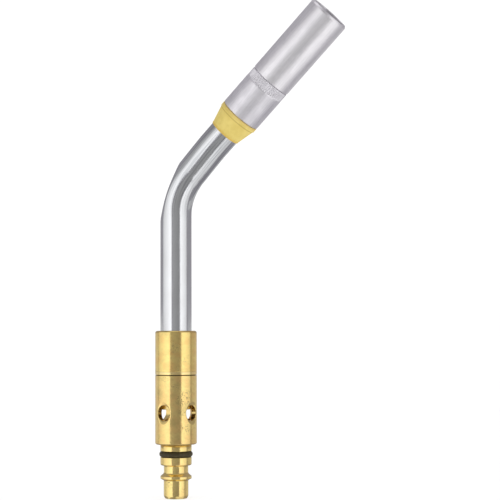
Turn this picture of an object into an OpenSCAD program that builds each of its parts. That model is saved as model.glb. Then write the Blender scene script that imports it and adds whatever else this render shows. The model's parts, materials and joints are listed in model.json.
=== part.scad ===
// Bent-neck air-fuel swirl torch tip with a quick-connect stem.
// Lengths are in millimetres. The origin is on the stem's axis at its nose end, the stem
// runs up +Z, and the burner head leans towards +X.

/* [Connector stem] */
// Diameter of the nose, below the retaining rib
nose_d = 7.5; // [7.3:0.1:7.8]
// Diameter of the retaining rib
rib_d = 9.5; // [9:0.1:10]
// Diameter of the neck between the rib and the lands
stem_neck_d = 7.4; // [7:0.1:7.6]
// Diameter of the two lands beside the seal groove
land_d = 9.5; // [9.1:0.1:9.6]
// Diameter of the gas inlet at the nose end
inlet_d = 5.2; // [5:0.1:5.4]
// Depth of the gas inlet at its full diameter
inlet_depth = 2; // [1.5:0.1:2.5]

/* [Seal ring] */
// Thickness of the rubber ring
seal_section = 1.78; // [1.6:0.02:1.8]
// Outside diameter of the rubber ring
seal_d = 10.16; // [10:0.02:10.3]

/* [Air barrel and collar] */
// Outside diameter of the barrel and the collar
barrel_d = 12.7; // [12.4:0.1:13.2]
// Diameter of the mixing chamber inside the barrel
chamber_d = 9.2; // [9:0.1:9.3]
// Diameter of each air port
port_d = 4.7; // [4.4:0.1:5]
// Number of air ports
port_count = 4; // [3:1:5]
// Turn of the ports about the stem's axis, from the bend's plane
port_phase = -13.5; // [-45:0.5:45]
// Diameter of the screwed joint between the barrel and the collar
joint_d = 10.6; // [10.5:0.1:10.8]

/* [Neck tube] */
// Outside diameter of the bent tube
tube_d = 9.525; // [9.4:0.025:9.6]
// Wall of the bent tube
tube_wall = 0.9; // [0.7:0.05:1]
// Angle of the bend
bend_angle = 45; // [30:1:60]
// Radius of the bend, at the tube's centre line
bend_radius = 18.3; // [16:0.1:24]

/* [Burner head] */
// Outside diameter of the sleeve and the flame tube
burner_d = 12.9; // [12.7:0.1:13.2]
// Wall of the flame tube
flame_wall = 0.9; // [0.8:0.05:1]
// Length of the flame tube
flame_length = 26.7; // [20:0.1:32]
// Length of the burner sleeve outside the flame tube, with its knurled band
sleeve_length = 14.1; // [12:0.1:18]
// Number of swirl vanes
vane_count = 6; // [5:1:8]
// Lean of the swirl vanes from the burner's axis
vane_lean = 38; // [25:1:45]

/* [Hidden] */
$fn = 96;
eps = 0.5;             // how far a cutting solid runs past the face that it cuts
slip = 0.05;           // radial clearance of the parts that turn in each other

// Heights along the stem
nose_chamfer = 0.4;
nose_chamfer_z = 0.8;
rib_low_z = 5.45;      // the rib's lower flank starts
rib_flat_z = 5.95;     // the rib's cylindrical rim starts
rib_rim = 0.75;        // height of that rim
rib_top_z = 7.6;       // the rib's upper flank ends
lands_z = 9.95;        // the lower land starts
land_round = 0.65;     // rounding of the lower land's edge
groove_z = 12.43;      // the seal groove starts
groove_width = 1.84;
shoulder_z = 16.3;     // the barrel's lower face
shank_d = 6.8;         // the stem's shank inside the barrel
shank_top_z = 21.2;
groove_d = seal_d - 2 * seal_section;
seal_z = groove_z + groove_width / 2;

// Gas passage in the stem
filter_d = 4.6;
filter_z = 3.4;
filter_length = 5.5;
clip_z = 2.6;
clip_height = 0.7;
clip_d = 4.7;
clip_inner_d = 3.5;
clip_gap = 1.4;
passage_d = 2.4;
jet_thread_d = 3;
jet_seat_z = 17.2;

// Jet
washer_height = 0.5;
washer_d = 4.8;
jet_hex_d = 5;
jet_hex_height = 1.6;
jet_nozzle_d = 2.8;
jet_nozzle_height = 1.3;
jet_passage_d = 1.4;
orifice_d = 0.3;
orifice_length = 0.8;
jet_z = shank_top_z + washer_height;

// Barrel
barrel_floor_z = 20.6;
barrel_edge = 0.35;    // broken lower edge
port_z = 25.85;
port_sink = 0.5;       // depth of the countersink round each port
sink_lean = 65;        // lean of the countersink's side from the port's axis
split_z = 37.25;       // the face where the collar meets the barrel
split_edge = 0.12;     // chamfer on each side of the split line
spigot_length = 5.6;   // the collar's screwed end, inside the barrel
spigot_z = split_z - spigot_length;
spigot_edge = 0.3;
relief_length = 0.9;   // thread relief under the collar's shoulder
relief_depth = 0.2;
thread_z = spigot_z - 0.8;

// Collar and venturi
collar_top_z = 50.7;
collar_round = 0.55;
tube_seat_z = 42.5;    // the tube's lower end
venturi_d = chamber_d - 0.1;
venturi_z = 26.85;     // its skirt hangs inside the barrel, over the tops of the ports
venturi_top_z = tube_seat_z - 0.2;
flange_d = tube_d - 0.025;
flange_z = 41.3;       // the collar's step, on which the venturi's flange rests
flange_gap = 0.1;      // axial clearance above that step
throat_d = 4.6;
throat_z = 31;
throat_length = 1.5;
mouth_d = 7.6;
tube_bore_d = tube_d - 2 * tube_wall;

// Head, measured along the burner's axis from the end of the bend
bend_z = 86.7;         // the bend starts
leg_draw = 0.02;       // how much thinner the bend leaves the tube's upper leg
leg_overlap = 0.05;    // how far that leg starts inside the bend
cone_start = 15.6;
cone_length = 7.1;
cone_band = 1.3;       // straight band at the cone's wide end
cone_lip = 0.45;       // straight lip at the cone's narrow end
cone_narrow_d = 10;
cone_step = 0.12;      // depth of the fine step under the band
tube_end = 20.4;
sleeve_start = cone_start + cone_length;
sleeve_end = sleeve_start + sleeve_length;
sleeve_edge = 0.25;    // chamfer at the sleeve's lower edge
sleeve_bore_d = 9.4;
sleeve_socket_d = 10.6;
spigot_in_sleeve = 3.4;
knurl_length = 3;
knurl_depth = 0.09;
flame_start = sleeve_end;
flame_end = flame_start + flame_length;
flame_bore_d = burner_d - 2 * flame_wall;
flame_edge = 0.1;      // chamfer at the flame tube's lower edge
press_d = flame_bore_d + 0.4;
press_length = 5;      // the sleeve's end inside the flame tube
press_gap = 0.2;
rim_chamfer = 0.4;
rim_length = 0.9;      // the rim's taper, along the burner's axis
bore_chamfer = 0.15;
rotor_z = sleeve_end - 1.5;
rotor_height = 4.6;
rotor_hub_d = 3.4;
vane_thickness = 0.6;

brass = "#d8b24a";
bright_brass = "#e2c45c";
steel = "#b9bcc2";
satin_steel = "#c6c3c9";
yellow_brass = "#dfc766";

// A ring-shaped solid between two heights
module ring(outer_d, inner_d, low_z, high_z) {
    translate([0, 0, low_z])
        difference() {
            cylinder(d = outer_d, h = high_z - low_z);
            translate([0, 0, -eps])
                cylinder(d = inner_d, h = high_z - low_z + 2 * eps);
        }
}

// Puts a solid that was drawn along +Z onto the burner's axis, with its origin at the bend's end
module on_head() {
    translate([bend_radius, 0, bend_z])
        rotate([0, bend_angle, 0])
            translate([-bend_radius, 0, 0])
                children();
}

// Points of a quarter circle about (x, y), from one angle to another
function quarter(x, y, r, a0, a1, steps = 8) =
    [for (i = [0:steps]) let (a = a0 + (a1 - a0) * i / steps) [x + r * cos(a), y + r * sin(a)]];

module connector_stem() {
    color(bright_brass)
    difference() {
        union() {
            cylinder(d1 = nose_d - 2 * nose_chamfer, d2 = nose_d, h = nose_chamfer_z);
            translate([0, 0, nose_chamfer_z])
                cylinder(d = nose_d, h = rib_low_z - nose_chamfer_z);
            translate([0, 0, rib_low_z])
                cylinder(d1 = nose_d, d2 = rib_d, h = rib_flat_z - rib_low_z);
            translate([0, 0, rib_flat_z])
                cylinder(d = rib_d, h = rib_rim);
            translate([0, 0, rib_flat_z + rib_rim])
                cylinder(d1 = rib_d, d2 = stem_neck_d, h = rib_top_z - rib_flat_z - rib_rim);
            translate([0, 0, rib_top_z])
                cylinder(d = stem_neck_d, h = lands_z - rib_top_z);
            rounded_land();
            translate([0, 0, groove_z])
                cylinder(d = groove_d, h = groove_width);
            translate([0, 0, groove_z + groove_width])
                cylinder(d = land_d, h = shoulder_z - groove_z - groove_width);
            translate([0, 0, shoulder_z])
                cylinder(d = shank_d, h = shank_top_z - shoulder_z);
        }
        translate([0, 0, -eps])
            cylinder(d = inlet_d, h = inlet_depth + eps);
        translate([0, 0, inlet_depth - eps])
            cylinder(d = filter_d, h = filter_z + filter_length - inlet_depth + eps);
        translate([0, 0, clip_z])
            cylinder(d = clip_d, h = clip_height);
        translate([0, 0, filter_z])
            cylinder(d = passage_d, h = shank_top_z - filter_z);
        translate([0, 0, jet_seat_z])
            cylinder(d = jet_thread_d, h = shank_top_z - jet_seat_z + eps);
    }
}

// The lower land, with its lower edge rounded
module rounded_land() {
    land_r = land_d / 2;
    rotate_extrude()
        polygon(concat(
            [[0, lands_z]],
            quarter(land_r - land_round, lands_z + land_round, land_round, -90, 0),
            [[land_r, groove_z], [0, groove_z]]));
}

module o_ring() {
    color("#2b2420")
    translate([0, 0, seal_z])
        rotate_extrude()
            translate([(seal_d - seal_section) / 2, 0])
                circle(d = seal_section, $fn = 48);
}

// Sintered cup, closed at its lower end
module inlet_filter() {
    color("#a9835a")
    translate([0, 0, filter_z])
        difference() {
            cylinder(d = filter_d, h = filter_length);
            translate([0, 0, 2])
                cylinder(d = passage_d, h = filter_length);
        }
}

// Split ring, sprung into a shallow groove below the filter
module filter_clip() {
    color("#8f9196")
    difference() {
        ring(clip_d, clip_inner_d, clip_z, clip_z + clip_height);
        translate([0, -clip_gap / 2, clip_z - eps])
            cube([clip_d, clip_gap, clip_height + 2 * eps]);
    }
}

module jet_washer() {
    color("#c0704a")
    ring(washer_d, jet_thread_d, shank_top_z, jet_z);
}

module orifice_jet() {
    nozzle_z = jet_z + jet_hex_height;
    top_z = nozzle_z + jet_nozzle_height;
    color(brass)
    difference() {
        union() {
            translate([0, 0, jet_seat_z])
                cylinder(d = jet_thread_d, h = jet_z - jet_seat_z);
            translate([0, 0, jet_z])
                cylinder(d = jet_hex_d, h = jet_hex_height, $fn = 6);
            translate([0, 0, nozzle_z])
                cylinder(d = jet_nozzle_d, h = jet_nozzle_height);
        }
        translate([0, 0, jet_seat_z - eps])
            cylinder(d = jet_passage_d, h = top_z - orifice_length - jet_seat_z + eps);
        translate([0, 0, top_z - 2 * orifice_length])
            cylinder(d = orifice_d, h = 3 * orifice_length, $fn = 24);
    }
}

module air_barrel() {
    sink_d = port_d + 2 * (port_sink + eps) * tan(sink_lean);
    color(brass)
    difference() {
        union() {
            translate([0, 0, shoulder_z])
                cylinder(d1 = barrel_d - 2 * barrel_edge, d2 = barrel_d, h = barrel_edge);
            translate([0, 0, shoulder_z + barrel_edge])
                cylinder(d = barrel_d, h = split_z - shoulder_z - barrel_edge - split_edge);
            translate([0, 0, split_z - split_edge])
                cylinder(d1 = barrel_d, d2 = barrel_d - 2 * split_edge, h = split_edge);
        }
        translate([0, 0, shoulder_z - eps])
            cylinder(d = shank_d, h = barrel_floor_z - shoulder_z + 2 * eps);
        translate([0, 0, barrel_floor_z])
            cylinder(d = chamber_d, h = split_z - barrel_floor_z);
        translate([0, 0, thread_z])
            cylinder(d = joint_d, h = split_z - thread_z + eps);
        for (i = [0:port_count - 1])
            translate([0, 0, port_z])
                rotate([0, 90, port_phase + i * 360 / port_count]) {
                    translate([0, 0, chamber_d / 4])
                        cylinder(d = port_d, h = barrel_d / 2);
                    translate([0, 0, barrel_d / 2 - port_sink])
                        cylinder(d1 = port_d, d2 = sink_d, h = port_sink + eps);
                }
    }
}

// Throat insert: skirt, bell mouth, straight throat and slow diffuser, free to turn in the collar
module venturi() {
    outer_r = venturi_d / 2 - slip;
    flange_r = flange_d / 2 - slip;
    flange_low_z = flange_z + flange_gap;
    mouth_r = mouth_d / 2;
    throat_r = throat_d / 2;
    color(yellow_brass)
    rotate_extrude()
        polygon(concat(
            [[outer_r, venturi_z], [outer_r, flange_low_z], [flange_r, flange_low_z]],
            [[flange_r, venturi_top_z], [tube_bore_d / 2, venturi_top_z]],
            [[throat_r, throat_z + throat_length]],
            quarter(mouth_r, throat_z, mouth_r - throat_r, 180, 270),
            [[mouth_r, venturi_z]]));
}

module tube_collar() {
    outer_r = barrel_d / 2;
    spigot_r = joint_d / 2 - slip;
    color(brass)
    rotate_extrude()
        polygon(concat(
            [[venturi_d / 2, spigot_z], [spigot_r - spigot_edge, spigot_z]],
            [[spigot_r, spigot_z + spigot_edge], [spigot_r, split_z - relief_length]],
            [[spigot_r - relief_depth, split_z - relief_length], [spigot_r - relief_depth, split_z]],
            [[outer_r - split_edge, split_z], [outer_r, split_z + split_edge]],
            quarter(outer_r - collar_round, collar_top_z - collar_round, collar_round, 0, 90),
            [[tube_d / 2, collar_top_z], [tube_d / 2, tube_seat_z]],
            [[flange_d / 2, tube_seat_z], [flange_d / 2, flange_z], [venturi_d / 2, flange_z]]));
}

// A round bar along the neck's centre line, with its ends run on by a distance.
// Bending draws the upper leg slightly thinner than the rest.
module bent_bar(diameter, run_on) {
    translate([0, 0, tube_seat_z - run_on])
        cylinder(d = diameter, h = bend_z - tube_seat_z + run_on);
    translate([bend_radius, 0, bend_z])
        rotate([90, 0, 180])
            rotate_extrude(angle = bend_angle)
                translate([bend_radius, 0])
                    circle(d = diameter);
    on_head()
        translate([0, 0, -leg_overlap])
            cylinder(d = diameter - leg_draw, h = leg_overlap + tube_end + run_on);
}

module neck_tube() {
    color(steel)
    difference() {
        bent_bar(tube_d, 0);
        bent_bar(tube_bore_d, eps);
    }
}

// Cone that steps up from the tube to the burner, with a socket below and a spigot above
module cone_adapter() {
    wide_r = burner_d / 2;
    narrow_r = cone_narrow_d / 2;
    band_z = sleeve_start - cone_band;
    color(yellow_brass)
    on_head()
        rotate_extrude()
            polygon([
                [tube_d / 2, cone_start],
                [narrow_r - cone_step, cone_start],
                [narrow_r, cone_start + cone_step],
                [narrow_r, cone_start + cone_lip],
                [wide_r - cone_step, band_z],
                [wide_r, band_z + cone_step],
                [wide_r, sleeve_start],
                [sleeve_socket_d / 2, sleeve_start],
                [sleeve_socket_d / 2, sleeve_start + spigot_in_sleeve],
                [sleeve_bore_d / 2, sleeve_start + spigot_in_sleeve],
                [tube_bore_d / 2, tube_end],
                [tube_d / 2, tube_end]
            ]);
}

module burner_sleeve() {
    outer_r = burner_d / 2;
    knurl_z = sleeve_end - knurl_length;
    color(satin_steel)
    on_head()
        rotate_extrude()
            polygon([
                [sleeve_socket_d / 2, sleeve_start],
                [outer_r - sleeve_edge, sleeve_start],
                [outer_r, sleeve_start + sleeve_edge],
                [outer_r, knurl_z - knurl_depth],
                [outer_r - knurl_depth, knurl_z],
                [outer_r - knurl_depth, sleeve_end],
                [press_d / 2, sleeve_end],
                [press_d / 2, sleeve_end + press_length],
                [sleeve_bore_d / 2, sleeve_end + press_length],
                [sleeve_bore_d / 2, sleeve_start + spigot_in_sleeve],
                [sleeve_socket_d / 2, sleeve_start + spigot_in_sleeve]
            ]);
}

module flame_tube() {
    outer_r = burner_d / 2;
    bore_r = flame_bore_d / 2;
    color(satin_steel)
    on_head()
        rotate_extrude()
            polygon([
                [press_d / 2, flame_start],
                [outer_r - flame_edge, flame_start],
                [outer_r, flame_start + flame_edge],
                [outer_r, flame_end - rim_length],
                [outer_r - rim_chamfer, flame_end],
                [bore_r + bore_chamfer, flame_end],
                [bore_r, flame_end - bore_chamfer],
                [bore_r, flame_start + press_length + press_gap],
                [press_d / 2, flame_start + press_length + press_gap]
            ]);
}

// Hub with leaning vanes that reach the sleeve's bore
module swirl_rotor() {
    vane = [sleeve_bore_d / 2, vane_thickness, 3 * rotor_height];
    color(steel)
    on_head()
        translate([0, 0, rotor_z])
            intersection() {
                cylinder(d = sleeve_bore_d, h = rotor_height);
                union() {
                    cylinder(d = rotor_hub_d, h = rotor_height);
                    for (i = [0:vane_count - 1])
                        rotate([0, 0, i * 360 / vane_count])
                            translate([sleeve_bore_d / 4, 0, rotor_height / 2])
                                rotate([vane_lean, 0, 0])
                                    cube(vane, center = true);
                }
            }
}

connector_stem();
o_ring();
inlet_filter();
filter_clip();
jet_washer();
orifice_jet();
air_barrel();
venturi();
tube_collar();
neck_tube();
cone_adapter();
burner_sleeve();
flame_tube();
swirl_rotor();
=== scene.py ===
"""Detailed look of a bent-neck air-fuel torch tip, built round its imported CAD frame.

Every piece is made in millimetres about its own axis, then placed in the frame's metres.
"""
import json
from math import asin, atan2, cos, hypot, pi, radians, sin, sqrt, tan

import bmesh
import bpy
from mathutils import Matrix, Vector


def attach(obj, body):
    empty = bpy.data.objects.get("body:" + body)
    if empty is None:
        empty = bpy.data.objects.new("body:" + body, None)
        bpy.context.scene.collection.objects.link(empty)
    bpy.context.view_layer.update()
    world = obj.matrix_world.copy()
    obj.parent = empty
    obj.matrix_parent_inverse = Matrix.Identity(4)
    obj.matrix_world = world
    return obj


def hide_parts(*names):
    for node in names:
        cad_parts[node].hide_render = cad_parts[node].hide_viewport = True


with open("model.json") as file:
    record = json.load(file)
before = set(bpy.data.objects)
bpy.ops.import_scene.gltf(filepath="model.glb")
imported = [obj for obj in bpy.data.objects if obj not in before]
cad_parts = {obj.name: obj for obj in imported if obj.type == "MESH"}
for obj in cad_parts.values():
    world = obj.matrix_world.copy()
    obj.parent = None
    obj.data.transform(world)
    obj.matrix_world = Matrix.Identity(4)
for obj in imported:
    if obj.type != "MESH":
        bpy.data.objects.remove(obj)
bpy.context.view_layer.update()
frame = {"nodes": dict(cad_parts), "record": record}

MM = 0.001
TURN = 2 * pi
record = frame["record"]
mounts = {mount["name"]: mount for mount in record["mounts"]}
bodies = {node: body for body, nodes in record["behaviour"]["bodies"].items() for node in nodes}
rise = record["behaviour"]["couplings"][0]["ratio"] * MM  # radians turned for a millimetre's rise
pitch = TURN / rise


# ---- Where things are ----

def axis_place(mount_name, way):
    """Matrix from millimetres about a mount's axis to the frame; way is 1 along that axis or -1."""
    mount = mounts[mount_name]
    along = way * Vector(mount["axis"])
    lean = Matrix.Rotation(atan2(along.x, along.z), 4, "Y")
    return Matrix.Translation(mount["pos_m"]) @ lean @ Matrix.Scale(MM, 4)


STEM = axis_place("gas_inlet", -1)
HEAD = axis_place("flame_outlet", 1)


class Measured:
    """Heights and radii of a CAD node about an axis, in millimetres."""

    def __init__(self, node, place):
        to_local = place.inverted()
        points = [to_local @ vertex.co for vertex in frame["nodes"][node].data.vertices]
        self.circles = {(round(p.z, 3), round(hypot(p.x, p.y), 3)) for p in points}
        self.low = min(z for z, r in self.circles)
        self.high = max(z for z, r in self.circles)
        self.radius = max(r for z, r in self.circles)
        self.bore = min(r for z, r in self.circles)

    def outer(self, height):
        """Largest radius of the circles at a height."""
        return max(r for z, r in self.circles if abs(z - height) < 0.01)

    def inner(self, height):
        """Smallest radius of the circles at a height."""
        return min(r for z, r in self.circles if abs(z - height) < 0.01)


stem = Measured("connector_stem", STEM)
seal = Measured("o_ring", STEM)
filter_cup = Measured("inlet_filter", STEM)
clip = Measured("filter_clip", STEM)
washer = Measured("jet_washer", STEM)
jet = Measured("orifice_jet", STEM)
barrel = Measured("air_barrel", STEM)
throat = Measured("venturi", STEM)
collar = Measured("tube_collar", STEM)
tube_foot = Measured("neck_tube", STEM)
tube_head = Measured("neck_tube", HEAD)
cone = Measured("cone_adapter", HEAD)
sleeve = Measured("burner_sleeve", HEAD)
flame = Measured("flame_tube", HEAD)
rotor = Measured("swirl_rotor", HEAD)

split = barrel.high                      # where the collar meets the barrel
tube_wall = 0.9
tube_bore_r = tube_foot.inner(tube_foot.low)
tube_r = tube_bore_r + tube_wall


# ---- Mesh building ----

def rounded(corners, closed=True, steps=5):
    """Outline points from (radius, height, fillet) corners, each fillet drawn as an arc."""
    points = []
    last = len(corners) - 1
    for i, (r, z, fillet) in enumerate(corners):
        corner = Vector((r, z))
        before = Vector(corners[i - 1][:2]) - corner
        after = Vector(corners[(i + 1) % len(corners)][:2]) - corner
        if fillet == 0 or (not closed and i in (0, last)):
            points.append((r, z))
            continue
        half = before.angle(after) / 2
        reach = min(fillet / tan(half), 0.45 * before.length, 0.45 * after.length)
        middle = corner + (before.normalized() + after.normalized()).normalized() * (reach / cos(half))
        start = corner + before.normalized() * reach - middle
        end = corner + after.normalized() * reach - middle
        sweep = pi - 2 * half
        for step in range(steps + 1):
            t = step / steps
            spoke = (start * sin((1 - t) * sweep) + end * sin(t * sweep)) / sin(sweep)
            points.append(tuple(middle + spoke))
    return points


def levels(radius, low, high, count):
    """Evenly spaced points up a straight side, for a thread or a knurl to be cut in."""
    return [(radius, low + (high - low) * i / count, 0) for i in range(count + 1)]


def on_round(radius, turn, z):
    return Vector((radius * cos(turn), radius * sin(turn), z))


def revolve(outline, segments=128, shape=None, start=0.0, closed=True):
    """Points and faces of an outline turned about the axis. shape(r, turn, z) may change a radius."""
    points = []
    for k in range(segments):
        turn = start + TURN * k / segments
        for r, z in outline:
            radius = shape(r, turn, z) if shape else r
            points.append((radius * cos(turn), radius * sin(turn), z))
    count = len(outline)
    faces = []
    for k in range(segments):
        here = k * count
        there = (k + 1) % segments * count
        for i in range(count if closed else count - 1):
            after = (i + 1) % count
            faces.append((here + i, here + after, there + after, there + i))
    return points, faces


def joined(*shells):
    """Several (points, faces) pairs as one."""
    points, faces = [], []
    for more_points, more_faces in shells:
        first = len(points)
        points += more_points
        faces += [tuple(first + i for i in face) for face in more_faces]
    return points, faces


def make_piece(node, shell, place, material, local=None):
    """Adds the piece that stands for a CAD node. local gives its points' own places for the material."""
    points, faces = shell
    name = node + "_detailed"
    mesh = bpy.data.meshes.new(name)
    mesh.from_pydata(points, [], faces)
    build = bmesh.new()
    build.from_mesh(mesh)
    if local is None:
        bmesh.ops.remove_doubles(build, verts=build.verts, dist=0.0005)
    bmesh.ops.recalc_face_normals(build, faces=build.faces)
    build.to_mesh(mesh)
    build.free()
    own = mesh.attributes.new("local_mm", "FLOAT_VECTOR", "POINT")
    own_places = local or [vertex.co for vertex in mesh.vertices]
    own.data.foreach_set("vector", [c for point in own_places for c in point])
    mesh.transform(place)
    mesh.shade_smooth()
    mesh.materials.append(material)
    piece = bpy.data.objects.new(name, mesh)
    bpy.context.scene.collection.objects.link(piece)
    piece.modifiers.new("even_shading", "WEIGHTED_NORMAL")
    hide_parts(node)
    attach(piece, bodies[node])
    return piece


def fade(value, low, high, run):
    """1 between low and high, falling to 0 over a run at each end."""
    return max(0.0, min(1.0, (value - low) / run, (high - value) / run))


def thread_depth(turn, z, depth, low, high):
    """How deep a right-handed thread cuts at a place, with its ends run out."""
    phase = (z / pitch - turn / TURN) % 1
    crest = max(0.0, min(1.0, (abs(2 * phase - 1) - 0.15) / 0.65))
    return depth * (1 - crest) * fade(z, low, high, pitch)


# ---- Materials ----

class Finish:
    """A material whose nodes read the piece's own millimetres."""

    def __init__(self, name, **settings):
        self.material = bpy.data.materials.new(name)
        self.material.use_nodes = True
        self.tree = self.material.node_tree
        self.surface = self.tree.nodes["Principled BSDF"]
        for socket, value in settings.items():
            self.surface.inputs[socket.replace("_", " ")].default_value = value
        self.place = self.add("Attribute", attribute_name="local_mm").outputs["Vector"]

    def add(self, kind, inputs=(), **settings):
        """One shader node, with its settings and its linked or fixed inputs."""
        node = self.tree.nodes.new("ShaderNode" + kind)
        for name, value in settings.items():
            setattr(node, name, value)
        for socket, value in dict(inputs).items():
            if isinstance(value, bpy.types.NodeSocket):
                self.tree.links.new(value, node.inputs[socket])
            else:
                node.inputs[socket].default_value = value
        return node

    def noise(self, spacing, detail=2.0, roughness=0.5):
        """Noise from 0 to 1 whose features are about spacing millimetres apart on each axis."""
        scale = [1 / s for s in spacing]
        place = self.add("VectorMath", {0: self.place, 1: scale}, operation="MULTIPLY").outputs[0]
        inputs = {"Vector": place, "Scale": 1.0, "Detail": detail, "Roughness": roughness}
        return self.add("TexNoise", inputs).outputs["Fac"]

    def spread(self, value, low, high, to_low=0.0, to_high=1.0):
        """Maps low..high to to_low..to_high, and no further."""
        inputs = {"Value": value, "From Min": low, "From Max": high, "To Min": to_low, "To Max": to_high}
        return self.add("MapRange", inputs, interpolation_type="SMOOTHSTEP").outputs["Result"]

    def maths(self, operation, a, b):
        return self.add("Math", {0: a, 1: b}, operation=operation).outputs[0]

    def mix(self, share, a, b):
        """Colour a, going over to colour b as share goes from 0 to 1."""
        return self.add("Mix", {0: share, 6: a, 7: b}, data_type="RGBA").outputs[2]

    def spot(self, centre, size):
        """1 at a place on the piece, falling to 0 at size millimetres from it."""
        inputs = {0: self.place, 1: centre}
        away = self.add("VectorMath", inputs, operation="DISTANCE").outputs["Value"]
        return self.spread(away, 0.25 * size, size, 1, 0)

    def height(self):
        """The third of the piece's own coordinates, along its axis."""
        return self.add("SeparateXYZ", {0: self.place}).outputs["Z"]

    def ring(self, start, full, fading, end):
        """1 between the heights full and fading, falling to 0 at start and end."""
        height = self.height()
        return self.maths("MULTIPLY", self.spread(height, start, full),
                          self.spread(height, fading, end, 1, 0))

    def bump(self, height, depth):
        """Relief of depth millimetres from a 0 to 1 height."""
        node = self.add("Bump", {"Height": height, "Distance": depth * MM, "Strength": 1.0})
        self.put("Normal", node.outputs["Normal"])

    def put(self, socket, value):
        self.tree.links.new(value, self.surface.inputs[socket])


def colour(r, g, b):
    return (r, g, b, 1.0)


def brass(name, base, worn, dull, gloss, stains=(), pale_bands_and_highlights=(), seam=None):
    """Turned brass: blotches of two tints, dark speckled stains, paler bands (one of them a painted
    highlight), and painted shade along a seam.
    """
    finish = Finish(name, Metallic=1.0)
    blotches = finish.spread(finish.noise((4.3, 4.3, 3.1), 3), 0.42, 0.64)
    patches = finish.spread(finish.noise((6.1, 6.1, 4.7), 3), 0.5, 0.7)
    mottle = finish.spread(finish.noise((1.3, 1.3, 0.9), 2), 0.45, 0.75, 0, 0.5)
    tint = finish.mix(blotches, base, worn)
    tint = finish.mix(patches, tint, dull)
    tint = finish.mix(mottle, tint, dull)
    speckle = finish.spread(finish.noise((0.45, 0.45, 0.4), 3, 0.6), 0.5, 0.66)
    rough = finish.spread(finish.noise((2.7, 2.7, 1.9), 2), 0.3, 0.7, gloss - 0.03, gloss + 0.03)
    for centre, size, strength in stains:
        mask = finish.maths("MULTIPLY", finish.spot(centre, size), speckle)
        mask = finish.maths("MULTIPLY", mask, strength)
        tint = finish.mix(mask, tint, colour(0.20, 0.17, 0.09))
        rough = finish.maths("ADD", rough, finish.maths("MULTIPLY", mask, 0.25))
    # Paler bands: on the stem, the band just under the barrel is a painted highlight; on the collar, it
    # is a paler tint above the split.
    for low, high, share in pale_bands_and_highlights:
        inside = finish.ring(low - 0.05, low + 0.05, high - 0.05, high + 0.05)
        tint = finish.mix(finish.maths("MULTIPLY", inside, share), tint, colour(1.0, 0.90, 0.60))
    # Painted shade: the split line between barrel and collar is darkened in the colour, as the shadow in
    # its gap.
    if seam:
        painted_split_shade = finish.ring(seam - 0.2, seam - 0.08, seam + 0.08, seam + 0.2)
        tint = finish.mix(finish.maths("MULTIPLY", painted_split_shade, 0.85), tint, colour(0.16, 0.11, 0.04))
    finish.put("Base Color", tint)
    finish.put("Roughness", rough)
    finish.bump(finish.noise((9.0, 9.0, 0.12), 2), 0.002)
    return finish.material


def surface_spot(turn_degrees, radius, height):
    """The place on a round side at a turn in degrees and a height."""
    return on_round(radius, radians(turn_degrees), height)


def polished_steel(bend_run):
    """Drawn stainless tube: near-mirror, with faint lengthwise lines, streaked past its bend."""
    finish = Finish("polished_stainless", Metallic=1.0)
    haze = finish.spread(finish.noise((4.0, 4.0, 9.0), 3), 0.35, 0.7)
    tint = finish.mix(haze, colour(0.735, 0.745, 0.765), colour(0.70, 0.705, 0.72))
    streak = finish.spread(finish.noise((0.55, 0.55, 16.0), 3), 0.4, 0.62, 0.1, 0.75)
    bent = finish.spread(finish.height(), bend_run - 6, bend_run + 10)
    tint = finish.mix(finish.maths("MULTIPLY", bent, streak), tint, colour(0.43, 0.44, 0.46))
    finish.put("Base Color", tint)
    finish.put("Roughness", finish.spread(finish.noise((0.8, 0.8, 6.0), 3), 0.3, 0.7, 0.12, 0.19))
    finish.bump(finish.noise((0.35, 0.35, 14.0), 2), 0.0012)
    return finish.material


def satin(name, base, shade, low, high, grain_length):
    """Satin steel with soft clouds and a fine grain drawn out along the tube."""
    finish = Finish(name, Metallic=1.0)
    cloud = finish.spread(finish.noise((3.6, 3.6, 4.5), 3), 0.35, 0.7)
    grain = finish.spread(finish.noise((0.5, 0.5, grain_length), 3), 0.38, 0.66, 0, 0.5)
    tint = finish.mix(cloud, base, shade)
    finish.put("Base Color", finish.mix(grain, tint, colour(*[0.88 * part for part in shade[:3]])))
    finish.put("Roughness", finish.spread(finish.noise((1.2, 1.2, 2.0), 3), 0.3, 0.7, low, high))
    finish.bump(finish.noise((8.0, 8.0, 0.16), 2), 0.001)
    return finish.material


def matte_yellow():
    """The cone's matte yellow: fine grain, orange at both ends, and painted shade as a dark line at its
    step.
    """
    finish = Finish("matte_yellow", Metallic=0.35, Roughness=0.7, Specular_IOR_Level=0.1)
    grain = finish.noise((0.35, 0.35, 0.35), 3, 0.65)
    cloud = finish.spread(finish.noise((2.4, 2.4, 2.4), 3), 0.35, 0.7)
    tint = finish.mix(cloud, colour(0.78, 0.625, 0.19), colour(0.85, 0.695, 0.235))
    height = finish.height()
    lip = finish.spread(height, cone.low + 0.1, cone.low + 1.1, 0.7, 0)
    tint = finish.mix(lip, tint, colour(0.70, 0.46, 0.09))
    # Painted shade: a dark line painted at the cone's step, where its groove is shaded.
    step = sleeve.low - 1.35
    line = finish.ring(step - 0.25, step - 0.05, step + 0.05, step + 0.3)
    tint = finish.mix(finish.maths("MULTIPLY", line, 0.45), tint, colour(0.40, 0.28, 0.06))
    rim = finish.spread(height, sleeve.low - 0.9, sleeve.low - 0.2, 0, 0.45)
    tint = finish.mix(rim, tint, colour(0.72, 0.52, 0.20))
    finish.put("Base Color", tint)
    finish.bump(grain, 0.03)
    return finish.material


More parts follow.
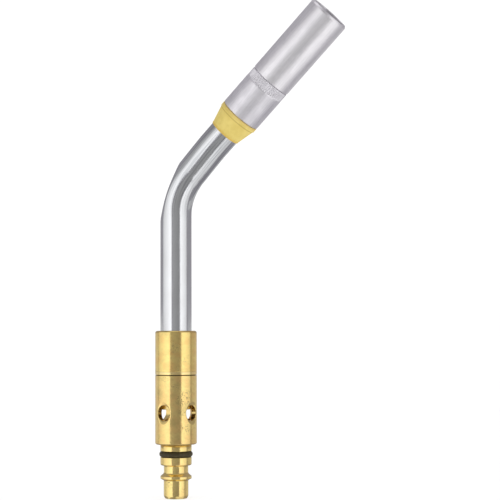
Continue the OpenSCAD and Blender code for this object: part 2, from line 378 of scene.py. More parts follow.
def rubber():
    """Dark brown-black nitrile, slightly dusty."""
    finish = Finish("nitrile", Specular_IOR_Level=0.3)
    dust = finish.spread(finish.noise((1.1, 1.1, 1.1), 4), 0.45, 0.75)
    finish.put("Base Color", finish.mix(dust, colour(0.040, 0.030, 0.010), colour(0.065, 0.050, 0.020)))
    finish.put("Roughness", finish.spread(finish.noise((0.7, 0.7, 0.7), 2), 0.3, 0.7, 0.38, 0.6))
    finish.bump(finish.noise((0.25, 0.25, 0.25), 2), 0.008)
    return finish.material


def sintered_bronze():
    """Porous bronze: packed round grains with dark gaps."""
    finish = Finish("sintered_bronze", Metallic=0.9)
    cells = finish.add("TexVoronoi", {"Vector": finish.place, "Scale": 4.0}).outputs["Distance"]
    grain = finish.spread(cells, 0.1, 0.6, 1, 0)
    finish.put("Base Color", finish.mix(grain, colour(0.10, 0.055, 0.03), colour(0.50, 0.31, 0.16)))
    finish.put("Roughness", finish.spread(grain, 0, 1, 0.75, 0.42))
    finish.bump(grain, 0.06)
    return finish.material


def plain_metal(name, base, shade, low, high):
    """Hidden machined metal, with tool rings and a little variation."""
    finish = Finish(name, Metallic=1.0)
    cloud = finish.spread(finish.noise((1.6, 1.6, 1.6), 3), 0.35, 0.7)
    finish.put("Base Color", finish.mix(cloud, base, shade))
    finish.put("Roughness", finish.spread(finish.noise((0.6, 0.6, 0.3), 3), 0.3, 0.7, low, high))
    finish.bump(finish.noise((5.0, 5.0, 0.1), 2), 0.005)
    return finish.material


# ---- Stem ----

rib_r = 4.75                             # the retaining rib's radius
rib_foot = 5.45                          # the rib's heights, from where it leaves the nose
rib_low = 5.95
rib_high = 6.7
rib_top = 7.6
neck_r = 3.7                             # between the rib and the lands
land_low = 9.95
land_r = stem.radius
shank_r = 3.4
passage_r = filter_cup.bore
groove_low = seal.low - 0.03
groove_high = seal.high + 0.03


def stem_outline():
    """The stem's closed outline, up the outside and down the gas passage."""
    inlet_r = mounts["gas_inlet"]["dims"]["r_mm"]
    inlet_depth = mounts["gas_inlet"]["dims"]["length_mm"]
    nose_r = mounts["quick_connect_nose"]["dims"]["r_mm"]
    floor_r = seal.radius - (seal.high - seal.low)
    outside = [
        (nose_r - 0.4, stem.low, 0.15),
        (nose_r, stem.low + 0.8, 0.8),
        (nose_r, rib_foot, 0.35),
        (rib_r, rib_low, 0.2),
        (rib_r, rib_high, 0.25),
        (neck_r, rib_top, 0.8),
        (neck_r, land_low, 0.35),
        (land_r, land_low, 0.65),
        (land_r, groove_low, 0.12),
        (floor_r, groove_low, 0.2),
        (floor_r, groove_high, 0.2),
        (land_r, groove_high, 0.12),
        (land_r, barrel.low, 0),
        (shank_r, barrel.low, 0.2),
        (shank_r, stem.high, 0.25),
    ]
    inside = [
        (jet.outer(jet.low), stem.high, 0.2),
        (jet.outer(jet.low), jet.low, 0.1),
        (passage_r, jet.low, 0.05),
        (passage_r, filter_cup.high, 0.05),
        (filter_cup.radius, filter_cup.high, 0.1),
        (filter_cup.radius, clip.high, 0.03),
        (clip.radius, clip.high, 0.03),
        (clip.radius, clip.low, 0.03),
        (filter_cup.radius, clip.low, 0.03),
        (filter_cup.radius, inlet_depth, 0.05),
        (inlet_r, inlet_depth, 0.08),
        (inlet_r, stem.low, 0.2),
    ]
    return rounded(outside + inside)


def stem_brass():
    spots = [
        (surface_spot(-100, neck_r, 4.6), 1.3, 0.8),
        (surface_spot(-85, neck_r, 3.4), 1.0, 0.6),
        (surface_spot(-30, neck_r, 2.6), 1.2, 0.5),
        (surface_spot(150, neck_r, 4.0), 1.4, 0.6),
    ]
    # Painted highlight: a paler band painted on the stem just under the barrel, standing in for light
    # off the barrel's lower edge.
    painted_highlight_band = [(barrel.low - 0.45, barrel.low + 0.1, 0.45)]
    return brass("stem_brass", colour(0.93, 0.72, 0.28), colour(0.93, 0.67, 0.27),
                 colour(0.80, 0.62, 0.24), 0.17, spots, painted_highlight_band)


# ---- Seal ring ----

def seal_shell():
    """A torus with a fine moulding line round its outside and its inside."""
    section_r = (seal.high - seal.low) / 2
    centre_r = seal.radius - section_r
    middle = (seal.low + seal.high) / 2
    steps = 40
    outline = []
    for i in range(steps):
        angle = TURN * i / steps
        line = 0.02 if i % (steps // 2) == 0 else 0.0
        outline.append((centre_r + (section_r + line) * cos(angle), middle + section_r * sin(angle)))
    return revolve(outline)


# ---- Filter, clip, washer ----

def filter_shell():
    """The sintered cup, closed at the bottom."""
    floor_thickness = 2
    floor = filter_cup.low + floor_thickness
    wall = filter_cup.radius
    bore = filter_cup.bore
    corners = [
        (0, filter_cup.low, 0),
        (wall, filter_cup.low, 0.25),
        (wall, filter_cup.high, 0.15),
        (bore, filter_cup.high, 0.15),
        (bore, floor, 0.3),
        (0, floor, 0),
    ]
    return revolve(rounded(corners, closed=False), 64, closed=False)


def clip_shell():
    """A split ring of rounded section, with rounded ends at its gap."""
    middle_r = (clip.bore + clip.radius) / 2
    middle_z = (clip.low + clip.high) / 2
    half_w = (clip.radius - clip.bore) / 2
    half_h = (clip.high - clip.low) / 2
    half_gap = 0.7
    gap = asin(half_gap / middle_r) + 0.02
    ring_steps, arc_steps = 20, 60
    points, faces = [], []
    for i in range(arc_steps + 1):
        share = i / arc_steps
        angle = gap + (TURN - 2 * gap) * share
        end = min(share, 1 - share) * arc_steps
        size = 1.0 if end >= 2 else (0.55, 0.88)[int(end)]
        for j in range(ring_steps):
            a = TURN * j / ring_steps
            u = abs(cos(a)) ** 0.5 * (1 if cos(a) >= 0 else -1)
            v = abs(sin(a)) ** 0.5 * (1 if sin(a) >= 0 else -1)
            r = middle_r + half_w * size * u
            points.append((r * cos(angle), r * sin(angle), middle_z + half_h * size * v))
    for i in range(arc_steps):
        for j in range(ring_steps):
            k = (j + 1) % ring_steps
            faces.append((i * ring_steps + j, i * ring_steps + k,
                          (i + 1) * ring_steps + k, (i + 1) * ring_steps + j))
    faces.append(tuple(range(ring_steps)))
    faces.append(tuple(arc_steps * ring_steps + j for j in range(ring_steps)))
    return points, faces


def washer_shell():
    """A flat ring with broken edges."""
    corners = [
        (washer.radius, washer.low, 0.1),
        (washer.radius, washer.high, 0.1),
        (washer.bore, washer.high, 0.06),
        (washer.bore, washer.low, 0.06),
    ]
    return revolve(rounded(corners), 96)


# ---- Jet ----

jet_hex_low = washer.high
jet_hex_high = jet_hex_low + 1.6
jet_hex_r = 2.5
jet_nozzle_r = 1.4
jet_hole_r = 0.15
jet_thread_r = 1.5


def jet_shell():
    """Hexagonal jet with a screwed foot, chamfered hexagon corners and a stepped bore."""
    flat = jet_hex_r * cos(pi / 6)
    bore = 0.7
    corners = [
        (jet_thread_r - 0.2, jet.low, 0),
        (jet_thread_r, jet.low + 0.2, 0),
        *levels(jet_thread_r, jet.low + 0.3, jet_hex_low - 0.4, 40),
        (jet_thread_r, jet_hex_low, 0.05),
        (flat - 0.1, jet_hex_low, 0),
        (jet_hex_r, jet_hex_low + 0.25, 0),
        *levels(jet_hex_r, jet_hex_low + 0.3, jet_hex_high - 0.3, 4),
        (jet_hex_r, jet_hex_high - 0.25, 0),
        (flat - 0.1, jet_hex_high, 0),
        (jet_nozzle_r, jet_hex_high, 0.15),
        (jet_nozzle_r, jet.high - 0.3, 0.1),
        (jet_nozzle_r - 0.3, jet.high, 0.1),
        (jet_hole_r + 0.15, jet.high, 0.03),
        (jet_hole_r, jet.high - 0.15, 0.03),
        (jet_hole_r, jet.high - 0.8, 0.03),
        (bore, jet.high - 1.1, 0.05),
        (bore, jet.low, 0.05),
    ]

    def shape(r, turn, z):
        if jet_hex_low <= z <= jet_hex_high and r > jet_nozzle_r + 0.2:
            return min(r, flat / cos(turn % (pi / 3) - pi / 6))
        if z < jet_hex_low and abs(r - jet_thread_r) < 0.001:
            fine = 0.45
            phase = (z / fine - turn / TURN) % 1
            groove = 1 - abs(2 * phase - 1)
            return r - 0.2 * groove * fade(z, jet.low + 0.2, jet_hex_low - 0.3, fine)
        return r

    return revolve(rounded(corners), 96, shape)


# ---- Barrel ----

port_count = 4
port_bearing = -13.5                     # degrees from the bend's plane to the first port
port_turn = radians(port_bearing)
port_r = 2.35
port_sink = 0.5                          # how deep each port is countersunk
sink_slope = tan(radians(65))
port_z = 25.85
window = 4.7                             # half height of the patch round each port
side_steps = 28                          # points along each side of that patch
joint_r = barrel.inner(split)            # the screwed joint's bore
chamber_r = 4.6                          # the mixing chamber behind the ports
chamber_floor = 20.6
joint_low = 30.85
thread_cut = 0.42
edge_round = 0.14
seam_gap = 0.06                          # how far each side stands back at the split line
seam_depth = 0.5


def eased(start, corner, end, steps=3):
    """Points of a small curve from start to end that rounds the corner between them."""
    points = []
    for i in range(1, steps + 1):
        t = i / (steps + 1)
        points.append(start * (1 - t) ** 2 + corner * 2 * t * (1 - t) + end * t * t)
    return points


def port_line(turn, rise_z):
    """Points from a patch's outer border, through the port and back to its inner border."""
    outer_r = barrel.radius
    angle = atan2(rise_z, outer_r * turn)

    def in_port(out, radius):
        return Vector((out, radius * cos(angle), radius * sin(angle)))

    low, high = port_r, port_r + port_sink * sink_slope
    for _ in range(24):
        mouth = (low + high) / 2
        deep = sqrt(outer_r ** 2 - (mouth * cos(angle)) ** 2) - outer_r + port_sink
        low, high = (mouth, high) if port_r + sink_slope * deep > mouth else (low, mouth)
    edge = in_port(sqrt(outer_r ** 2 - (mouth * cos(angle)) ** 2), mouth)
    wide = mouth + edge_round
    skin = in_port(sqrt(outer_r ** 2 - (wide * cos(angle)) ** 2), wide)
    sink_foot = in_port(outer_r - port_sink, port_r)
    reach = min(edge_round, 0.4 * (edge - sink_foot).length)
    sink_top = edge + (sink_foot - edge).normalized() * reach
    sink_low = sink_foot + (edge - sink_foot).normalized() * reach
    wall_top = in_port(sink_foot.x - edge_round, port_r)
    bore_edge = in_port(sqrt(chamber_r ** 2 - (port_r * cos(angle)) ** 2), port_r)
    wall_low = bore_edge + Vector((edge_round, 0, 0))
    inner_wide = port_r + edge_round
    inner_skin = in_port(sqrt(chamber_r ** 2 - (inner_wide * cos(angle)) ** 2), inner_wide)

    line = []
    skin_turn = atan2(skin.y, skin.x)
    for share in (0, 0.25, 0.48, 0.68, 0.84, 0.95):
        line.append(on_round(outer_r, turn + (skin_turn - turn) * share,
                             rise_z + (skin.z - rise_z) * share))
    if (edge - sink_foot).length < 2 * edge_round:
        line += [skin, *eased(skin, (edge + sink_foot) / 2, wall_top, 8), wall_top]
    else:
        line += [skin, *eased(skin, edge, sink_top), sink_top]
        line += [sink_low, *eased(sink_low, sink_foot, wall_top), wall_top]
    line += [wall_top.lerp(wall_low, share) for share in (0.1, 0.5, 0.9)]
    line += [wall_low, *eased(wall_low, bore_edge, inner_skin), inner_skin]
    inner_turn = atan2(inner_skin.y, inner_skin.x)
    for share in (0.06, 0.2, 0.4, 0.65, 1):
        line.append(on_round(chamber_r, inner_turn + (turn - inner_turn) * share,
                             inner_skin.z + (rise_z - inner_skin.z) * share))
    return line


def port_patch(centre_turn):
    """The barrel's wall round one port, outside, port and inside."""
    half = pi / port_count
    border = []
    for i in range(side_steps):
        border.append((-half + 2 * half * i / side_steps, -window))
    for i in range(side_steps):
        border.append((half, -window + 2 * window * i / side_steps))
    for i in range(side_steps):
        border.append((half - 2 * half * i / side_steps, window))
    for i in range(side_steps):
        border.append((-half, window - 2 * window * i / side_steps))
    place = Matrix.Translation((0, 0, port_z)) @ Matrix.Rotation(centre_turn, 4, "Z")
    lines = [port_line(turn, z) for turn, z in border]
    points = [tuple(place @ point) for line in lines for point in line]
    count = len(lines[0])
    faces = []
    for k in range(len(lines)):
        here = k * count
        there = (k + 1) % len(lines) * count
        for i in range(count - 1):
            faces.append((here + i, here + i + 1, there + i + 1, there + i))
    return points, faces


def barrel_shell():
    """The barrel: four ported patches between an upper and a lower turned end."""
    half = pi / port_count
    upper = [
        (barrel.radius, port_z + window, 0),
        (barrel.radius, split - 0.15, 0.05),
        (barrel.radius - 0.12, split - seam_gap, 0.03),
        (barrel.radius - seam_depth, split - seam_gap, 0),
        (barrel.radius - seam_depth, split, 0),
        (joint_r + 0.2, split, 0.03),
        (joint_r, split - 0.25, 0.03),
        *levels(joint_r, split - 0.4, joint_low + 0.3, 52),
        (joint_r, joint_low, 0.05),
        (chamber_r, joint_low, 0.05),
        (chamber_r, port_z + window, 0),
    ]
    lower = [
        (barrel.radius, port_z - window, 0),
        (barrel.radius, barrel.low + 0.35, 0.2),
        (barrel.radius - 0.35, barrel.low, 0.15),
        (shank_r, barrel.low, 0),
        (shank_r, chamber_floor, 0.1),
        (chamber_r, chamber_floor, 0.3),
        (chamber_r, port_z - window, 0),
    ]

    def shape(r, turn, z):
        if abs(r - joint_r) < 0.001:
            return r + thread_depth(turn, z, thread_cut, joint_low + 0.3, split - 0.3)
        return r

    around = port_count * side_steps
    start = port_turn - half
    patches = [port_patch(port_turn + TURN * i / port_count) for i in range(port_count)]
    return joined(revolve(rounded(upper, closed=False), around, shape, start, closed=False),
                  revolve(rounded(lower, closed=False), around, None, start, closed=False),
                  *patches)


def barrel_brass():
    right = port_bearing
    left = right - 90
    r = barrel.radius
    spots = [
        (surface_spot(right - 25, r, port_z + 4.7), 3.1, 1.0),
        (surface_spot(right - 38, r, port_z + 3.6), 2.2, 1.0),
        (surface_spot(right - 33, r, port_z + 0.2), 2.0, 0.9),
        (surface_spot(right - 25, r, port_z - 4.6), 2.2, 0.8),
        (surface_spot(left + 7, r, port_z + 10.4), 1.3, 0.9),
        (surface_spot(left + 38, r, port_z + 7.6), 1.6, 0.55),
        (surface_spot(left - 120, r, port_z + 5.0), 3.0, 0.7),
        (surface_spot(right + 70, r, port_z - 6.0), 2.6, 0.6),
    ]
    return brass("barrel_brass", colour(0.91, 0.69, 0.27), colour(0.91, 0.63, 0.25),
                 colour(0.72, 0.55, 0.22), 0.2, spots, seam=split)


# ---- Collar ----

collar_round = 0.7
spigot_r = collar.outer(collar.low + 0.3)
relief = 0.2
relief_length = 0.9
band_height = 1.05                       # of the lighter band above the split
step_z = 41.3                            # the step that carries the throat insert's flange


def collar_shell():
    """The collar: screwed spigot, relief, plain grip with a fine line, and the tube's socket."""
    seat = tube_foot.low
    bore_r = collar.bore
    step_r = throat.radius + 0.05
    corners = [
        (bore_r, collar.low, 0.08),
        (spigot_r - 0.3, collar.low, 0.05),
        (spigot_r, collar.low + 0.3, 0.05),
        *levels(spigot_r, collar.low + 0.4, split - relief_length - 0.1, 40),
        (spigot_r, split - relief_length, 0.05),
        (spigot_r - relief, split - relief_length, 0.08),
        (spigot_r - relief, split, 0.08),
        (collar.radius - seam_depth, split, 0),
        (collar.radius - seam_depth, split + seam_gap, 0),
        (collar.radius - 0.12, split + seam_gap, 0.03),
        (collar.radius, split + 0.15, 0.05),
        (collar.radius, split + band_height - 0.07, 0.03),
        (collar.radius - 0.04, split + band_height, 0.03),
        (collar.radius, split + band_height + 0.07, 0.03),
        (collar.radius, collar.high, collar_round),
        (tube_r + 0.12, collar.high, 0.05),
        (tube_r, collar.high - 0.12, 0.05),
        (tube_r, seat, 0),
        (step_r, seat, 0),
        (step_r, step_z, 0.05),
        (bore_r, step_z, 0.05),
    ]

    def shape(r, turn, z):
        if abs(r - spigot_r) < 0.001 and z < split:
            return r - thread_depth(turn, z, thread_cut, collar.low, split - relief_length + 0.3)
        return r

    return revolve(rounded(corners), 128, shape)


def collar_brass():
    r = collar.radius
    spots = [
        (surface_spot(-68, r, split + 8.2), 2.4, 0.65),
        (surface_spot(-40, r, split + 4.3), 1.6, 0.4),
        (surface_spot(-60, r, split + 2.2), 1.2, 0.35),
        (surface_spot(120, r, split + 6.0), 3.0, 0.5),
    ]
    return brass("collar_brass", colour(0.92, 0.70, 0.26), colour(0.91, 0.62, 0.23),
                 colour(0.76, 0.58, 0.22), 0.2, spots, [(split + 0.1, split + band_height, 0.2)], split)


# ---- Throat insert ----

def throat_shell():
    """Skirt, bell mouth, straight throat and slow diffuser, with a flange at the top."""
    body_r = throat.outer(throat.low)
    mouth = throat.inner(throat.low)
    narrow = throat.bore
    straight = 31.0
    bell = []
    steps = 12
    for i in range(steps + 1):
        angle = pi + pi / 2 * i / steps
        reach = mouth - narrow
        bell.append((mouth + reach * cos(angle), straight + reach * sin(angle), 0))
    corners = [
        (body_r, throat.low, 0.1),
        (body_r, step_z + 0.1, 0.03),
        (throat.radius, step_z + 0.1, 0.05),
        (throat.radius, throat.high, 0.05),
        (tube_bore_r, throat.high, 0.03),
        (narrow, straight + 1.5, 0.5),
        *bell,
        (mouth, throat.low, 0.05),
    ]
    return revolve(rounded(corners), 96)


# ---- Neck tube ----

bend_angle = HEAD.to_euler().y
bend_radius = 18.3
bend_length = bend_radius * bend_angle
head_origin = STEM.inverted() @ HEAD.translation
head_along = Vector((sin(bend_angle), 0, cos(bend_angle)))
bend_corner = head_origin - head_along * (head_origin.x / sin(bend_angle))
bend_low = bend_corner.z - bend_radius * tan(bend_angle / 2)
most_squeeze = 2.15                      # how far bending pulls the tube's outer side in
most_drift = 0.42                        # how far it moves the tube's middle to the inner side
swell = 0.02                             # how much it widens the tube sideways
squeeze_middle = 0.42                    # where it is squeezed most, as a share of the bend
squeeze_reach = 0.56                     # how far from there the squeeze has died away
drift_lead = 0.15                        # how far before the bend the drift starts
drift_tail = 10                          # how many millimetres past the bend it ends


def squeeze_at(share):
    """How far the outer side is pulled in, at a share of the way along the bend."""
    return most_squeeze * max(0.0, 1 - ((share - squeeze_middle) / squeeze_reach) ** 2) ** 1.5


def drift_at(share, past):
    """How far the middle has moved inwards, at a share along the bend or a way past its end."""
    if share <= 1:
        t = max(0.0, min(1.0, share + drift_lead))
        return most_drift * t * t * (3 - 2 * t)
    return most_drift * max(0.0, 1 - past / drift_tail) ** 1.2


def neck_path():
    """Stations up the neck, each a centre, a lean and how far the outer side is squeezed."""
    end = head_origin + head_along * tube_head.high
    lower_steps, bend_steps, upper_steps = 36, 40, 24
    stations = []
    for i in range(lower_steps):
        z = tube_foot.low + (bend_low - tube_foot.low) * i / lower_steps
        share = (z - bend_low) / bend_length
        stations.append((Vector((drift_at(share, 0), 0, z)), 0.0, squeeze_at(share)))
    for i in range(bend_steps + 1):
        share = i / bend_steps
        lean = bend_angle * share
        inward = Vector((cos(lean), 0, -sin(lean)))
        place = Vector((bend_radius * (1 - cos(lean)), 0, bend_low + bend_radius * sin(lean)))
        stations.append((place + inward * drift_at(share, 0), lean, squeeze_at(share)))
    inward = Vector((cos(bend_angle), 0, -sin(bend_angle)))
    for i in range(1, upper_steps + 1):
        middle = place.lerp(end, i / upper_steps)
        drift = drift_at(2, (middle - place).length)
        stations.append((middle + inward * drift, bend_angle, 0.0))
    return stations


def neck_shell():
    """The bent tube, outside and bore, with the bend's outer side pulled flat."""
    around = 112
    points, local, rows = [], [], []
    run = 0.0
    for place, lean, squeeze in neck_path():
        run += (place - rows[-1][0]).length if rows else 0.0
        rows.append((place, lean, squeeze, run))
    skins = [(*row, tube_r) for row in rows] + [(*row, tube_bore_r) for row in reversed(rows)]
    for place, lean, squeeze, run_here, radius in skins:
        out = Vector((-cos(lean), 0, sin(lean)))
        for k in range(around):
            turn = TURN * k / around
            pull = squeeze * max(0.0, cos(turn)) ** 2
            wide = 1 + swell * squeeze * abs(sin(turn))
            side = Vector((0, 1, 0)) * (radius * sin(turn) * wide)
            points.append(place + out * ((radius - pull) * cos(turn)) + side)
            local.append((radius * cos(turn), radius * sin(turn), run_here))
    faces = []
    for i in range(len(skins)):
        here = i * around
        there = (i + 1) % len(skins) * around
        for k in range(around):
            after = (k + 1) % around
            faces.append((here + k, here + after, there + after, there + k))
    return (points, faces), local


# ---- Burner head ----

def cone_shell():
    """The cone, with a socket for the tube below and a spigot for the sleeve above."""
    wide = sleeve.low
    band = wide - 1.3
    narrow_r = cone.outer(cone.low + 0.45)
    spigot_out_r = cone.outer(cone.high)
    corners = [
        (tube_r, cone.low, 0.03),
        (narrow_r - 0.12, cone.low, 0.05),
        (narrow_r, cone.low + 0.12, 0.05),
        (narrow_r, cone.low + 0.45, 0.12),
        (cone.radius - 0.2, band - 0.12, 0.05),
        (cone.radius - 0.22, band, 0.05),
        (cone.radius, band + 0.1, 0.05),
        (cone.radius, wide, 0.1),
        (spigot_out_r, wide, 0),
        (spigot_out_r, cone.high, 0),
        (cone.inner(cone.high), cone.high, 0.05),
        (tube_bore_r, tube_head.high, 0.05),
        (tube_r, tube_head.high, 0),
    ]
    return revolve(rounded(corners), 128)


teeth = 60
knurl_length = 3.0
knurl_cut = 0.2                          # how deep the grooves between the teeth are


def sleeve_shell():
    """The sleeve, with a band of straight teeth rolled into its last few millimetres."""
    outer = sleeve.radius
    socket_r = sleeve.inner(sleeve.low)
    seam = flame.low
    crest = outer - 0.05
    press_r = flame.inner(flame.low)
    knurl_low = seam - knurl_length
    corners = [
        (socket_r, sleeve.low, 0),
        (outer - 0.3, sleeve.low, 0.03),
        (outer, sleeve.low + 0.35, 0.08),
        (outer, knurl_low - 0.3, 0.1),
        (crest, knurl_low, 0),
        *levels(crest, knurl_low + 0.1, seam - 0.35, 6),
        (crest - 0.1, seam - 0.15, 0.02),
        (outer - 0.35, seam - 0.15, 0),
        (outer - 0.35, seam, 0),
        (press_r, seam, 0),
        (press_r, sleeve.high - 0.2, 0.05),
        (press_r - 0.2, sleeve.high, 0.05),
        (sleeve.bore, sleeve.high, 0.1),
        (sleeve.bore, cone.high, 0),
        (socket_r, cone.high, 0),
    ]

    def shape(r, turn, z):
        if z >= knurl_low and r > crest - 0.01 and z < seam:
            tooth = max(0.0, 0.5 + 0.8 * cos(teeth * turn)) / 1.3
            return r - knurl_cut * tooth * fade(z, knurl_low, seam, 0.2)
        return r

    return revolve(rounded(corners), teeth * 8, shape)


def flame_shell():
    """The flame tube, with a broad chamfer outside its rim and a fine one inside."""
    outer = flame.radius
    bore = mounts["flame_outlet"]["dims"]["r_mm"]
    press_r = flame.inner(flame.low)
    press_top = -mounts["flame_outlet"]["dims"]["length_mm"]
    corners = [
        (press_r, flame.low, 0),
        (outer - 0.35, flame.low, 0),
        (outer - 0.35, flame.low + 0.1, 0),
        (outer - 0.1, flame.low + 0.1, 0.03),
        (outer, flame.low + 0.2, 0.04),
        (outer, flame.high - 0.65, 0.2),
        (outer - 0.4, flame.high, 0.08),
        (bore + 0.15, flame.high, 0.05),
        (bore, flame.high - 0.15, 0.05),
        (bore, press_top, 0.03),
        (press_r, press_top, 0),
    ]
    return revolve(rounded(corners), 144)


vanes = 6
vane_lean = radians(38)
vane_half = 0.3                          # half a vane's thickness at its tip


def rotor_shell():
    """Hub and six vanes twisted round it, from one cross-section carried along the axis."""
    hub_r = 1.7
    tip_r = rotor.radius
    section = []
    flank_steps, tip_steps, hub_steps = 5, 3, 4
    for v in range(vanes):
        middle = TURN * v / vanes
        half_tip = asin(vane_half / tip_r)
        half_hub = asin(vane_half / hub_r) * 1.5
        side = []
        for i in range(flank_steps + 1):
            r = hub_r + (tip_r - hub_r) * i / flank_steps
            half = vane_half if i else vane_half * 1.5
            side.append((r, asin(half / r)))
        section += [(r, middle - half) for r, half in side]
        section += [(tip_r, middle - half_tip + 2 * half_tip * i / tip_steps)
                    for i in range(1, tip_steps)]
        section += [(r, middle + half) for r, half in reversed(side)]
        gap = TURN / vanes - 2 * half_hub
        section += [(hub_r, middle + half_hub + gap * i / hub_steps) for i in range(1, hub_steps)]
    layers = 16
    length = rotor.high - rotor.low
    twist = tan(vane_lean) / (0.7 * tip_r)
    points, faces = [], []
    for layer in range(layers + 1):
        z = length * layer / layers
        for r, turn in section:
            swung = turn + twist * (z - length / 2)
            points.append((r * cos(swung), r * sin(swung), rotor.low + z))
    count = len(section)
    for layer in range(layers):
        for i in range(count):
            after = (i + 1) % count
            here, there = layer * count, (layer + 1) * count
            faces.append((here + i, here + after, there + after, there + i))
    faces.append(tuple(range(count)))
    faces.append(tuple(layers * count + i for i in range(count)))
    return points, faces


# ---- Pieces ----

make_piece("connector_stem", revolve(stem_outline()), STEM, stem_brass())
make_piece("o_ring", seal_shell(), STEM, rubber())
make_piece("inlet_filter", filter_shell(), STEM, sintered_bronze())
make_piece("filter_clip", clip_shell(), STEM,
           plain_metal("spring_steel", colour(0.42, 0.42, 0.45), colour(0.32, 0.33, 0.37), 0.25, 0.4))
make_piece("jet_washer", washer_shell(), STEM,
           plain_metal("annealed_copper", colour(0.80, 0.42, 0.27), colour(0.66, 0.33, 0.22), 0.3, 0.45))
make_piece("orifice_jet", jet_shell(), STEM,
           plain_metal("jet_brass", colour(0.88, 0.68, 0.27), colour(0.78, 0.58, 0.24), 0.2, 0.32))
make_piece("air_barrel", barrel_shell(), STEM, barrel_brass())
make_piece("venturi", throat_shell(), STEM,
           plain_metal("throat_brass", colour(0.86, 0.66, 0.27), colour(0.76, 0.58, 0.26), 0.25, 0.38))
make_piece("tube_collar", collar_shell(), STEM, collar_brass())
tube_mesh, tube_local = neck_shell()
make_piece("neck_tube", tube_mesh, STEM, polished_steel(bend_low - tube_foot.low), tube_local)
make_piece("cone_adapter", cone_shell(), HEAD, matte_yellow())
make_piece("burner_sleeve", sleeve_shell(), HEAD,
           satin("sleeve_steel", colour(0.93, 0.91, 0.95), colour(0.86, 0.84, 0.88), 0.44, 0.50, 5.0))
make_piece("flame_tube", flame_shell(), HEAD,
           satin("flame_tube_steel", colour(0.99, 0.97, 1.0), colour(0.95, 0.93, 0.96), 0.38, 0.43, 9.0))
make_piece("swirl_rotor", rotor_shell(), HEAD,
           plain_metal("rotor_steel", colour(0.52, 0.52, 0.54), colour(0.42, 0.41, 0.43), 0.35, 0.5))


# ---- Studio ----

def pale(name, glow):
    """A plain surface that an even light of its own makes nearly white."""
    finish = Finish(name, Roughness=0.9)
    finish.surface.inputs["Base Color"].default_value = colour(0.3, 0.3, 0.3)
    finish.surface.inputs["Emission Color"].default_value = colour(1, 1, 1)
    finish.surface.inputs["Emission Strength"].default_value = glow
    return finish.material


def studio_sweep():
    """A pale floor that curves up into a round wall far from the object."""
    floor_r, curve, wall = 2.2, 0.5, 2.5
    corners = [(0, 0, 0), (floor_r + curve, 0, curve), (floor_r + curve, wall, 0)]
    points, faces = revolve(rounded(corners, closed=False, steps=12), 96, closed=False)
    mesh = bpy.data.meshes.new("studio_sweep")
    mesh.from_pydata(points, [], faces)
    build = bmesh.new()
    build.from_mesh(mesh)
    bmesh.ops.remove_doubles(build, verts=build.verts, dist=0.0001)
    build.to_mesh(mesh)
    build.free()
    mesh.shade_smooth()
    mesh.materials.append(pale("pale_sweep", 0.79))
    sweep = bpy.data.objects.new("studio_sweep", mesh)
    bpy.context.scene.collection.objects.link(sweep)
    sweep.visible_glossy = False
    sweep.visible_shadow = False


def light_card(name, inner, outer, near_glow, far_glow, rows):
    """A tall curved panel that glows on the object, graded from its inner to its outer edge.

    Azimuths are in degrees from the camera's side, right positive. Each row is a height in
    metres and the share of the glow there.
    """
    away, columns = 0.6, 32
    points, glows, faces = [], [], []
    for i in range(columns + 1):
        share = i / columns
        bearing = radians(camera_azimuth + inner + (outer - inner) * share)
        for z, part in rows:
            points.append((camera_target[0] + away * sin(bearing), -away * cos(bearing), z))
            glows.append((near_glow + (far_glow - near_glow) * share) * part)
    count = len(rows)
    for i in range(columns):
        for j in range(count - 1):
            here, there = i * count + j, (i + 1) * count + j
            faces.append((here, there, there + 1, here + 1))
    mesh = bpy.data.meshes.new(name)
    mesh.from_pydata(points, [], faces)
    mesh.attributes.new("glow", "FLOAT", "POINT").data.foreach_set("value", glows)
    finish = Finish(name, Base_Color=colour(0, 0, 0), Specular_IOR_Level=0.0,
                    Emission_Color=colour(1, 1, 1))
    finish.put("Emission Strength", finish.add("Attribute", attribute_name="glow").outputs["Fac"])
    mesh.materials.append(finish.material)
    card = bpy.data.objects.new(name, mesh)
    bpy.context.scene.collection.objects.link(card)
    card.visible_camera = False
    card.visible_shadow = False


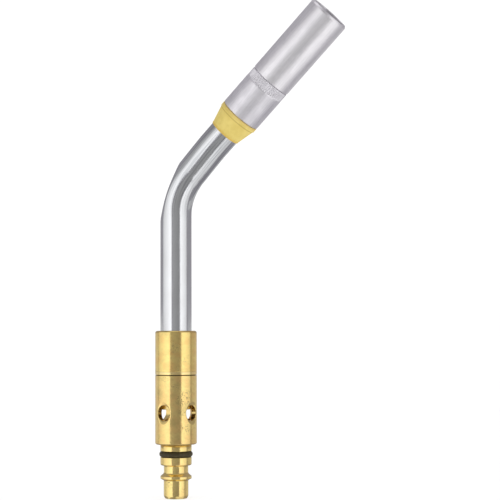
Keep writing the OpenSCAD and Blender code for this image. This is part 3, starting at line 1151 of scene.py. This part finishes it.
def overhead(radiance, size):
    """A large soft light straight above."""
    data = bpy.data.lights.new("overhead", "AREA")
    data.shape = "DISK"
    data.size = size
    data.energy = radiance * pi * pi * size ** 2 / 4
    light = bpy.data.objects.new("overhead", data)
    light.location = (camera_target[0], 0, 1.2)
    light.visible_camera = False
    bpy.context.scene.collection.objects.link(light)


def ambient(strength):
    world = bpy.data.worlds.new("studio_air")
    world.use_nodes = True
    sky = world.node_tree.nodes["Background"]
    sky.inputs["Color"].default_value = colour(0.99, 0.965, 1.03)
    sky.inputs["Strength"].default_value = strength
    bpy.context.scene.world = world


camera_azimuth = 22.06
camera_elevation = -3.36
camera_target = (0.02450, -0.00006, 0.07480)
camera_distance = 0.43763
camera_roll = -0.19
camera_lens = 104.98


def camera():
    """A long lens a little below the middle of the object, looking slightly up."""
    data = bpy.data.cameras.new("camera")
    data.sensor_width = 36.0
    data.lens = camera_lens
    data.clip_start = 0.01
    data.clip_end = 20.0
    eye = bpy.data.objects.new("camera", data)
    bearing, lift = radians(camera_azimuth), radians(camera_elevation)
    back = Vector((sin(bearing) * cos(lift), -cos(bearing) * cos(lift), sin(lift)))
    eye.location = Vector(camera_target) + back * camera_distance
    eye.rotation_mode = "QUATERNION"
    roll = Matrix.Rotation(radians(camera_roll), 3, "Z").to_quaternion()
    eye.rotation_quaternion = (-back).to_track_quat("-Z", "Y") @ roll
    bpy.context.scene.collection.objects.link(eye)
    bpy.context.scene.camera = eye


camera()
studio_sweep()
ambient(0.37)
overhead(0.5, 1.0)
light_card("left_card", -32.5, -106, 1.46, 0.8, [(-0.66, 1.0), (0.24, 1.0), (0.48, 0.45)])
light_card("right_card", 31, 88, 1.40, 0.86, [(-0.45, 1.0), (0.2, 1.0), (0.4, 0.4)])
light_card("floor_card", 0, 104, 1.2, 0.75, [(-1.4, 0.6), (-0.7, 1.0), (-0.45, 1.0)])
light_card("front_card", -25, 27, 0.42, 0.29, [(-0.45, 1.0), (0.9, 1.0)])
light_card("low_back_card", 100, 250, 0.56, 0.72, [(-0.1, 1.0), (0.06, 1.0)])
bpy.context.scene.view_settings.view_transform = "Standard"
